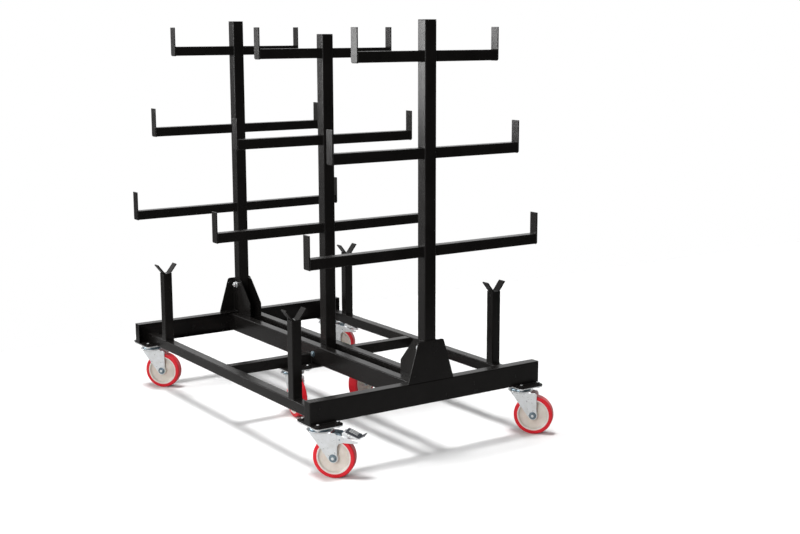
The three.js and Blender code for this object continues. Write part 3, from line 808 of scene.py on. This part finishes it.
def make_tyre():
    section = mirrored([(TYRE_INNER, TYRE_HALF), (TYRE_OUTER, TYRE_HALF)])
    bm = turned(section, 72)
    tread = TYRE_OUTER - 0.1
    soften(bm, TREAD_CORNER, 5, lambda e: all(v.co.xy.length > tread for v in e.verts))
    soften(bm, 0.8)
    seam = mirrored([(TYRE_OUTER - 0.5, 0.5), (TYRE_OUTER - 0.02, 0.3)])
    return put(bm, turned(seam, 72))


def make_wheel_centre():
    return soften(turned(mirrored(CENTRE_PROFILE), 64), 0.8)


# The ridge gets the pinkish rim nylon, whose tint is painted red light from the tyre and a painted
# highlight.
def make_rim_ridge():
    bm = bmesh.new()
    for side in SIDES:
        put(bm, turned([(r, side * h) for r, h in RIDGE_PROFILE], 72))
    return bm


# %% [markdown]
# ## Forks cut from a folded channel
# A castor's fork starts as flat zinc-plated sheet, cut to shape and folded over a former. The same
# is done here: a U section is drawn along the fork, and an outline of the cheek, seen from the
# side, is extruded right across it. What the two have in common is the fork.


# %% The part that two meshes share
def common(first, second):
    objects = []
    for bm in (first, second):
        bmesh.ops.recalc_face_normals(bm, faces=bm.faces)
        mesh = bpy.data.meshes.new("stock")
        bm.to_mesh(mesh)
        bm.free()
        objects.append(bpy.data.objects.new("stock", mesh))
        bpy.context.scene.collection.objects.link(objects[-1])
    cutter = objects[0].modifiers.new("cut", "BOOLEAN")
    cutter.operation = "INTERSECT"
    cutter.solver = "EXACT"
    cutter.object = objects[1]
    graph = bpy.context.evaluated_depsgraph_get()
    result = bmesh.new()
    result.from_mesh(objects[0].evaluated_get(graph).to_mesh())
    for stock in objects:
        bpy.data.objects.remove(stock)
    bmesh.ops.remove_doubles(result, verts=result.verts, dist=MERGE)
    bmesh.ops.dissolve_limit(
        result, angle_limit=math.radians(1), verts=result.verts, edges=result.edges
    )
    return result


# %% The folded channel
INNER, FORK_SHEET = 23, 3
OUTER = INNER + FORK_SHEET
CHANNEL_FOOT, CUT_WIDE = 40, 80
SPARE = 5


def channel(front, back, top):
    """A U section, open downwards, along X from front to back."""
    foot = CHANNEL_FOOT
    section = [
        (-OUTER, foot), (-INNER, foot), (-INNER, top - FORK_SHEET), (INNER, top - FORK_SHEET),
        (INNER, foot), (OUTER, foot), (OUTER, top), (-OUTER, top),
    ]
    bm = plate(section, back - front, {2: 2.5, 3: 2.5, 6: 5.5, 7: 5.5}, None, 5)
    return moved(bm, at(x=front) @ ALONG_X)


def cut_fork(outline, front, back, top):
    blank = channel(front - SPARE, back + SPARE, top)
    return soften(common(blank, across(outline, CUT_WIDE, None)), 0.5)


# %% [markdown]
# ## The castors
# Every castor is built once, in a place of its own: the kingpin stands on the origin, the fork
# trails along X and the axle lies along Y. The joints of the frame of solids say where each one
# stands and which way it points, and a matrix takes it there.

# %% Read each castor's place from its joints
JOINTS = {joint["name"]: joint for joint in frame["joints"]}
CASTORS = (*CORNERS, "mid_left", "mid_right")
BRAKED = ("near_left", "far_right")


def castor_place(castor):
    """The place of the castor's turning parts, and that of its plate."""
    pivot, wheel = (
        Vector(JOINTS[f"{castor}_{joint}"]["pos_m"]) * 1000 for joint in ("swivel", "wheel_spin")
    )
    heading = math.atan2(wheel.y - pivot.y, wheel.x - pivot.x)
    seat = at(pivot.x, pivot.y, 0)
    return seat @ Matrix.Rotation(heading, 4, "Z"), seat


for castor in CASTORS:
    place, _ = castor_place(castor)
    print(castor, "castor trails towards", round(math.degrees(place.to_euler().z)), "degrees")

# %% [markdown]
# The plate is bolted up against the rack. Its bolts have their heads below, and the nuts on top
# were painted with the frame. Under the plate sits the upper race, and the kingpin's head shows
# inside the fork.

# %% The bolted plate, the kingpin and the upper race
PLATE_FOOT, PLATE_TOP = 187.5, 191
BOLT_HOLES = rectangle(105, 80)
HEAD_HIGH, HEAD_WASHER = 4.6, 1.4


def bolted_plate():
    outline = rectangle(PLATE_LONG, PLATE_WIDE)
    bm = plate(outline, PLATE_TOP - PLATE_FOOT, all_four(PLATE_CORNER), 0.6)
    moved(bm, at(z=PLATE_FOOT))
    shank = [(0, 0), (5, 0), (5, 13.4), (4.2, 14.2), (0, 14.2)]
    for x, y in BOLT_HOLES:
        put(bm, hexagon(18, HEAD_HIGH, HEAD_WASHER), at(x, y, PLATE_FOOT) @ FLIP)
        put(bm, turned(shank, 20, closed=False), at(x, y, PLATE_TOP - 1))
    return bm


def plate_nuts():
    bm = bmesh.new()
    for x, y in BOLT_HOLES:
        put(bm, hexagon(17, HEAD_HIGH, HEAD_WASHER), at(x, y, PLATE_TOP + GAP + MOUNT))
    return bm


def upper_race():
    steps = [
        (0, 177), (36, 177), (40, 178.5), (42, 181), (43, 185), (43, PLATE_FOOT), (0, PLATE_FOOT),
    ]
    return soften(turned(steps, 72, closed=False), 0.5)


def kingpin():
    head = [(0, 159.4), (10, 159.4), (12, 161.2), (12, 165.4), (0, 165.4)]
    return soften(turned(head, 32, closed=False), 0.5)


# %% [markdown]
# The fork's crown is pressed into a round dish with a rolled rim, which carries the lower race.
# From crown to axle each cheek has a wide pressed strip, which stiffens it and ends in the boss.

# %% The outline of a cheek
AXLE_Z, TRAIL, CROWN = 75, 51.5, 168.7
CHEEK_FRONT, CHEEK_BACK, CROWN_BACK = -34, TRAIL + 14.5, 44
CROWN_EDGE = 6
BOSS = 17.5
HORN_END = TRAIL + 89
HORN = [(78, 55), (84, 55.6), (88, 58), (88, 62), (28, 81)]
HORN_ROOT, HORN_FILLET = 38, 18


def boss_arc(radius, start, end):
    """Points round the foot of a cheek, where it holds the axle."""
    steps = 20
    angles = [start + i * (end - start) / steps for i in range(steps + 1)]
    return [(TRAIL + radius * math.cos(a), AXLE_Z + radius * math.sin(a)) for a in angles]


def cheek_outline(braked):
    """The fork from the side. A braked fork has a horn that reaches back over the wheel."""
    front = (CHEEK_FRONT, CROWN - CROWN_EDGE)
    corner = Vector(front) - Vector((TRAIL, AXLE_Z))
    tangent = math.atan2(corner.y, corner.x) + math.acos(BOSS / corner.length)
    leave = 2 * math.pi + math.acos((CHEEK_BACK - TRAIL) / BOSS)
    points = [(CHEEK_FRONT, CROWN), front, *boss_arc(BOSS, tangent, leave)]
    if braked:
        for a in (0, 0.4, 0.8, 1.2, 1.5):
            x = CHEEK_BACK + HORN_FILLET * (1 - math.cos(a))
            points.append((x, AXLE_Z + HORN_ROOT + HORN_FILLET * math.sin(a)))
        points += [(TRAIL + x, AXLE_Z + z) for x, z in HORN]
    else:
        points.append((CHEEK_BACK, AXLE_Z + 84))
    return points + [(CROWN_BACK, AXLE_Z + 86), (CROWN_BACK, CROWN)]


# %% The pressed strips, the dish and the lower race
PRESS_DEPTH, PRESS_SHEET = 1.2, 1.6


def pressed_strips():
    """The raised strip on the outside of both cheeks."""
    top, back = CROWN - 5, TRAIL + 14
    arc = boss_arc(16, math.pi, 1.9 * math.pi)
    outline = [(TRAIL - 19, top), *arc, (back, AXLE_Z + 8), (back, top - 5), (TRAIL + 8, top)]
    both = bmesh.new()
    for side in SIDES:
        pressed = plate(outline, PRESS_SHEET, None, 1.1)
        sunk = PRESS_DEPTH - PRESS_SHEET if side < 0 else -PRESS_DEPTH
        put(both, pressed, at(y=side * OUTER) @ STAND @ at(z=sunk))
    return both


def crown_dish():
    steps = [
        (9, -1.5), (40, -1.5), (43, 0.5), (45.5, 2), (47.6, 1), (47.2, -1.5), (43.5, -4),
        (40, -4.4), (9, -4.4),
    ]
    return soften(turned([(r, CROWN + h) for r, h in steps], 72), 0.5)


def lower_race():
    steps = [(9, -1.8), (38, -1.8), (39, 2), (37, 7.9), (9, 7.9)]
    return soften(turned([(r, CROWN + h) for r, h in steps], 64), 0.6)


# %% The axle bolt with its nuts, and the wheel on its axle
STRIP_FACE = OUTER + PRESS_DEPTH
AXLE_END = STRIP_FACE + 8
PIN = (23, -67)


def axle_bolt():
    """The shaft, whose ends show bright inside the head and the nut."""
    profile = [(0, -AXLE_END), (5.2, -AXLE_END), (6, 0), (5.2, AXLE_END), (0, AXLE_END)]
    return soften(turned(profile, 24, closed=False), 0.6)


def axle_nuts(braked):
    """Head and nut on the cheeks, and the small pin above the wheel on a braked fork."""
    bm = bmesh.new()
    for side in SIDES:
        turn = Matrix() if side > 0 else FLIP
        put(bm, hexagon(23, 5.6, washer=1.2), at(z=side * STRIP_FACE) @ turn)
        if braked:
            put(bm, soften(rod(2.6, 0, 0.9, 20), 0.3), at(*PIN, side * OUTER) @ turn)
    return bm


def put_wheel(castor, place):
    body = f"{castor}_wheel"
    parts = (
        ("tyre_ring", make_tyre(), tyre_red, [f"{castor}_tyre"]),
        ("nylon_centre", make_wheel_centre(), nylon, [f"{castor}_wheel_centre"]),
        ("rim_ridge", make_rim_ridge(), rim_nylon_painted_light, ()),
    )
    for name, bm, material, node in parts:
        make_piece(f"{castor}_{name}", bm, material, body, node, place)


# %% Put the six castors together
for castor in CASTORS:
    place, seat = castor_place(castor)
    braked = castor in BRAKED
    body = f"{castor}_castor"
    plate_node = [f"{castor}_castor_plate"]
    make_piece(f"{castor}_top_plate", bolted_plate(), zinc, "rack", plate_node, seat)
    make_piece(f"{castor}_plate_nuts", plate_nuts(), cap_finish, "rack", place=seat)
    # The races and the axle nuts get the darker zinc: painted shade and a painted bluish
    # reflection.
    race = put(upper_race(), kingpin())
    make_piece(f"{castor}_upper_race", race, zinc_painted_shade_reflection, "rack", place=seat)
    back = HORN_END if braked else CHEEK_BACK
    fork = put(cut_fork(cheek_outline(braked), CHEEK_FRONT, back, CROWN), pressed_strips())
    put(fork, crown_dish())
    make_piece(f"{castor}_fork_sheet", fork, zinc, body, [f"{castor}_fork"], place)
    make_piece(f"{castor}_lower_race", lower_race(), zinc_painted_shade_reflection, body, place=place)
    axle = place @ at(x=TRAIL, z=AXLE_Z) @ LAY
    own_bolt = [] if castor.startswith("mid") else [f"{castor}_axle"]
    make_piece(f"{castor}_axle_bolt", axle_bolt(), zinc, body, own_bolt, axle)
    make_piece(f"{castor}_axle_nuts", axle_nuts(braked), zinc_painted_shade_reflection, body, place=axle)
    put_wheel(castor, axle)
print("castors:", len(CASTORS))

# %% [markdown]
# ## The foot brakes
# Two castors have a brake. A steel bridge between the fork's horns holds its adjusting bolt. Behind
# it a zinc lever turns on a pin. It carries a dark ribbed pad for the foot, its tail turns up so
# that a toe can lift it, and a block below it bears on the tyre. Outlines are drawn from the side,
# in X and Z: the bridge's from the castor's own origin, the others from the axle.

# %% Bridge, brake lever and pad
LEVER_TOP = [(33, 91), (36, 92.5), (40, 93), (89, 72), (108, 82)]
LEVER_SHEET, LEVER_WIDE, LEVER_CHEEK = 2.5, 42, 20.5
LEVER_SIDE = [(31, 73), (36, 69.6), (42, 73), (54, 76), (86, 68), (88, 71), (40, 91), (32, 90)]
BRAKE_BLOCK = [(36, 69.5), (47, 68.6), (56, 61.5), (57, 74), (42, 86), (36, 82)]
BLOCK_WIDE = 30
PEDAL_PIN, PIN_RADIUS, PIN_HALF = (36, 0, 75), 3, 26.6
PAD = [(44, 92.2), (89, 73.2), (93, 74.6), (93, 80), (89, 80), (50, 98), (45, 97.4)]
PAD_TAIL = [(90, 74), (110, 84.5), (111.5, 83.5), (111.2, 82), (91, 71.5)]
PAD_WIDE, TAIL_WIDE = 40, 38
PAD_RIB = [(54, 95.6), (84, 81.8), (84.3, 82.8), (54.3, 96.9)]
RIB_WIDE, RIB_PLACES = 4, (-11, 0, 11)
BRIDGE_TOP = [(42, -21), (81, -21), (81, 21), (42, 21)]
BRIDGE_SIDE = [(46, 150), (79, 150), (79, 160), (74, 163), (50, 163), (46, 160)]
BRIDGE_Z, BRIDGE_SHEET = 153.5, 3
EAR_SHEET, EAR_PLACE = 2.2, 21.5


def ribbon(points, thickness):
    """The outline of a bent strip, from points along its upper side."""
    lower = []
    for i, point in enumerate(points):
        before, after = points[max(i - 1, 0)], points[min(i + 1, len(points) - 1)]
        run = (Vector(after) - Vector(before)).normalized()
        lower.append((point[0] + run.y * thickness, point[1] - run.x * thickness))
    return points + lower[::-1]


def bridge():
    bm = plate(BRIDGE_TOP, BRIDGE_SHEET, all_four(3), 0.6)
    moved(bm, at(z=BRIDGE_Z))
    for side in SIDES:
        put(bm, across(BRIDGE_SIDE, EAR_SHEET), at(y=side * EAR_PLACE))
    adjuster = hexagon(17, 6, washer=1.4, stub=2)
    return put(bm, adjuster, at(x=64, z=BRIDGE_Z + BRIDGE_SHEET))


def brake_lever():
    bm = across(ribbon(LEVER_TOP, LEVER_SHEET), LEVER_WIDE)
    for side in SIDES:
        put(bm, across(LEVER_SIDE, LEVER_SHEET), at(y=side * LEVER_CHEEK))
    put(bm, across(BRAKE_BLOCK, BLOCK_WIDE))
    return put(bm, rod(PIN_RADIUS, -PIN_HALF, PIN_HALF, 20), at(*PEDAL_PIN) @ LAY)


def brake_pad():
    return put(across(PAD, PAD_WIDE, 0.8), across(PAD_TAIL, TAIL_WIDE, 0.6))


def pad_ribs():
    bm = bmesh.new()
    for y in RIB_PLACES:
        put(bm, across(PAD_RIB, RIB_WIDE, 0.4), at(y=y))
    return bm


for castor in BRAKED:
    place, _ = castor_place(castor)
    # The bridge gets the darker zinc: painted shade and a painted bluish reflection.
    make_piece(f"{castor}_fork_bridge", bridge(), zinc_painted_shade_reflection, f"{castor}_castor", place=place)
    pedal = place @ at(x=TRAIL, z=AXLE_Z)
    body = f"{castor}_pedal"
    make_piece(f"{castor}_brake_lever", brake_lever(), zinc, body, place=pedal)
    pad_node = [f"{castor}_brake_pedal"]
    make_piece(f"{castor}_brake_pad", brake_pad(), pedal_grey, body, pad_node, pedal)
    make_piece(f"{castor}_brake_ribs", pad_ribs(), zinc, body, place=pedal)
print("brakes:", len(BRAKED))

# %% [markdown]
# ## The studio
# The photograph has a white sweep and light from almost straight above, so the shadow lies under
# the base with soft edges. The floor is a plain pale plane. For the eye it is nearly white, while
# what it throws back onto the rack is a plain grey. It ends in front of the rack and behind it,
# where the studio is dark: that is what makes the black faces look deep.

# %% Floor
FLOOR_FAR, FLOOR_FRONT, FLOOR_HALF = -1.7, 2.3, 60
FLOOR_GREY, FLOOR_WHITE = 0.45, 0.97


def make_floor():
    bm = bmesh.new()
    middle_x, half = (FLOOR_FRONT + FLOOR_FAR) / 2, (FLOOR_FRONT - FLOOR_FAR) / 2
    spread = Matrix.Translation((middle_x, 0, 0)) @ Matrix.Diagonal((half, FLOOR_HALF, 1, 1))
    bmesh.ops.create_grid(bm, x_segments=1, y_segments=1, size=1, matrix=spread)
    mesh = bpy.data.meshes.new("floor")
    bm.to_mesh(mesh)
    bm.free()
    material = bpy.data.materials.new("pale_floor")
    material.use_nodes = True
    tree = material.node_tree
    shader = tree.nodes["Principled BSDF"]
    shader.inputs["Roughness"].default_value = 0.9
    shader.inputs["Specular IOR Level"].default_value = 0.0
    seen = tree.nodes.new("ShaderNodeLightPath").outputs["Is Camera Ray"]
    grey, white = (FLOOR_GREY,) * 3 + (1,), (FLOOR_WHITE,) * 3 + (1,)
    tree.links.new(mix_node(tree, seen, grey, white, "RGBA"), shader.inputs["Base Color"])
    mesh.materials.append(material)
    floor = bpy.data.objects.new("floor", mesh)
    bpy.context.scene.collection.objects.link(floor)


make_floor()

# %% [markdown]
# The world is white for the eye. Metal and gloss mirror that white too, but it falls off towards
# the camera's side of the room and, below the horizon, behind the rack. As a light it is weak, so
# it only fills the shadows.

# %% World
AHEAD, ASIDE, ABOVE = (0.9, 0.43, 0), (0.469, -0.883, 0), (0, 0, 1)
FILL = 0.14


def make_world():
    world = bpy.data.worlds.new("studio")
    bpy.context.scene.world = world
    world.use_nodes = True
    tree = world.node_tree
    ray = tree.nodes.new("ShaderNodeLightPath").outputs
    direction = tree.nodes.new("ShaderNodeTexCoord").outputs["Generated"]

    def falloff(axis, start, end, low, high):
        """Runs from low to high as the direction turns towards the axis."""
        return ramp_node(tree, dot_node(tree, direction, axis), start, end, low, high)

    ahead = falloff(AHEAD, 0.05, 0.55, 1.0, 0.08)
    aside = falloff(ASIDE, 0.0, 0.09, 0.05, 1.0)
    above = falloff(ABOVE, -0.08, 0.02, 0.1, 1.0)
    reflected = math_node(tree, "MULTIPLY", ahead, math_node(tree, "MAXIMUM", aside, above))
    gloss = math_node(tree, "MAXIMUM", ray["Is Glossy Ray"], ray["Is Transmission Ray"])
    level = mix_node(tree, gloss, FILL, reflected)
    background = tree.nodes["Background"]
    tree.links.new(mix_node(tree, ray["Is Camera Ray"], level, 1.0), background.inputs["Strength"])
    background.inputs["Color"].default_value = (1, 1, 1, 1)


make_world()

# %% [markdown]
# One lamp stands for the ceiling and throws the shadow. A box at the left shows in the gloss of the
# uprights and the lips, and a box in front lights the castors.


# %% Lamps
def lamp(name, kind, place, target, **settings):
    light = bpy.data.lights.new(name, kind)
    for setting, value in settings.items():
        setattr(light, setting, value)
    stand = bpy.data.objects.new(name, light)
    stand.location = place
    stand.rotation_euler = (Vector(target) - Vector(place)).to_track_quat("-Z", "Y").to_euler()
    stand.visible_camera = False
    bpy.context.scene.collection.objects.link(stand)


lamp("top_light", "SUN", (-0.4, -0.6, 5), (0, 0, 0), energy=3.05, angle=math.radians(17))
lamp(
    "left_box", "AREA", (-2.48, -3.46, 1.8), (0.6, 0, 1.65), shape="RECTANGLE", size=2.2,
    size_y=1.6, energy=34, spread=math.radians(60),
)
lamp(
    "front_box", "AREA", (3.4, -4.8, 2.4), (0, 0, 0.4), shape="RECTANGLE", size=2.5, size_y=2.5,
    energy=185,
)
bpy.context.scene.view_settings.view_transform = "Standard"
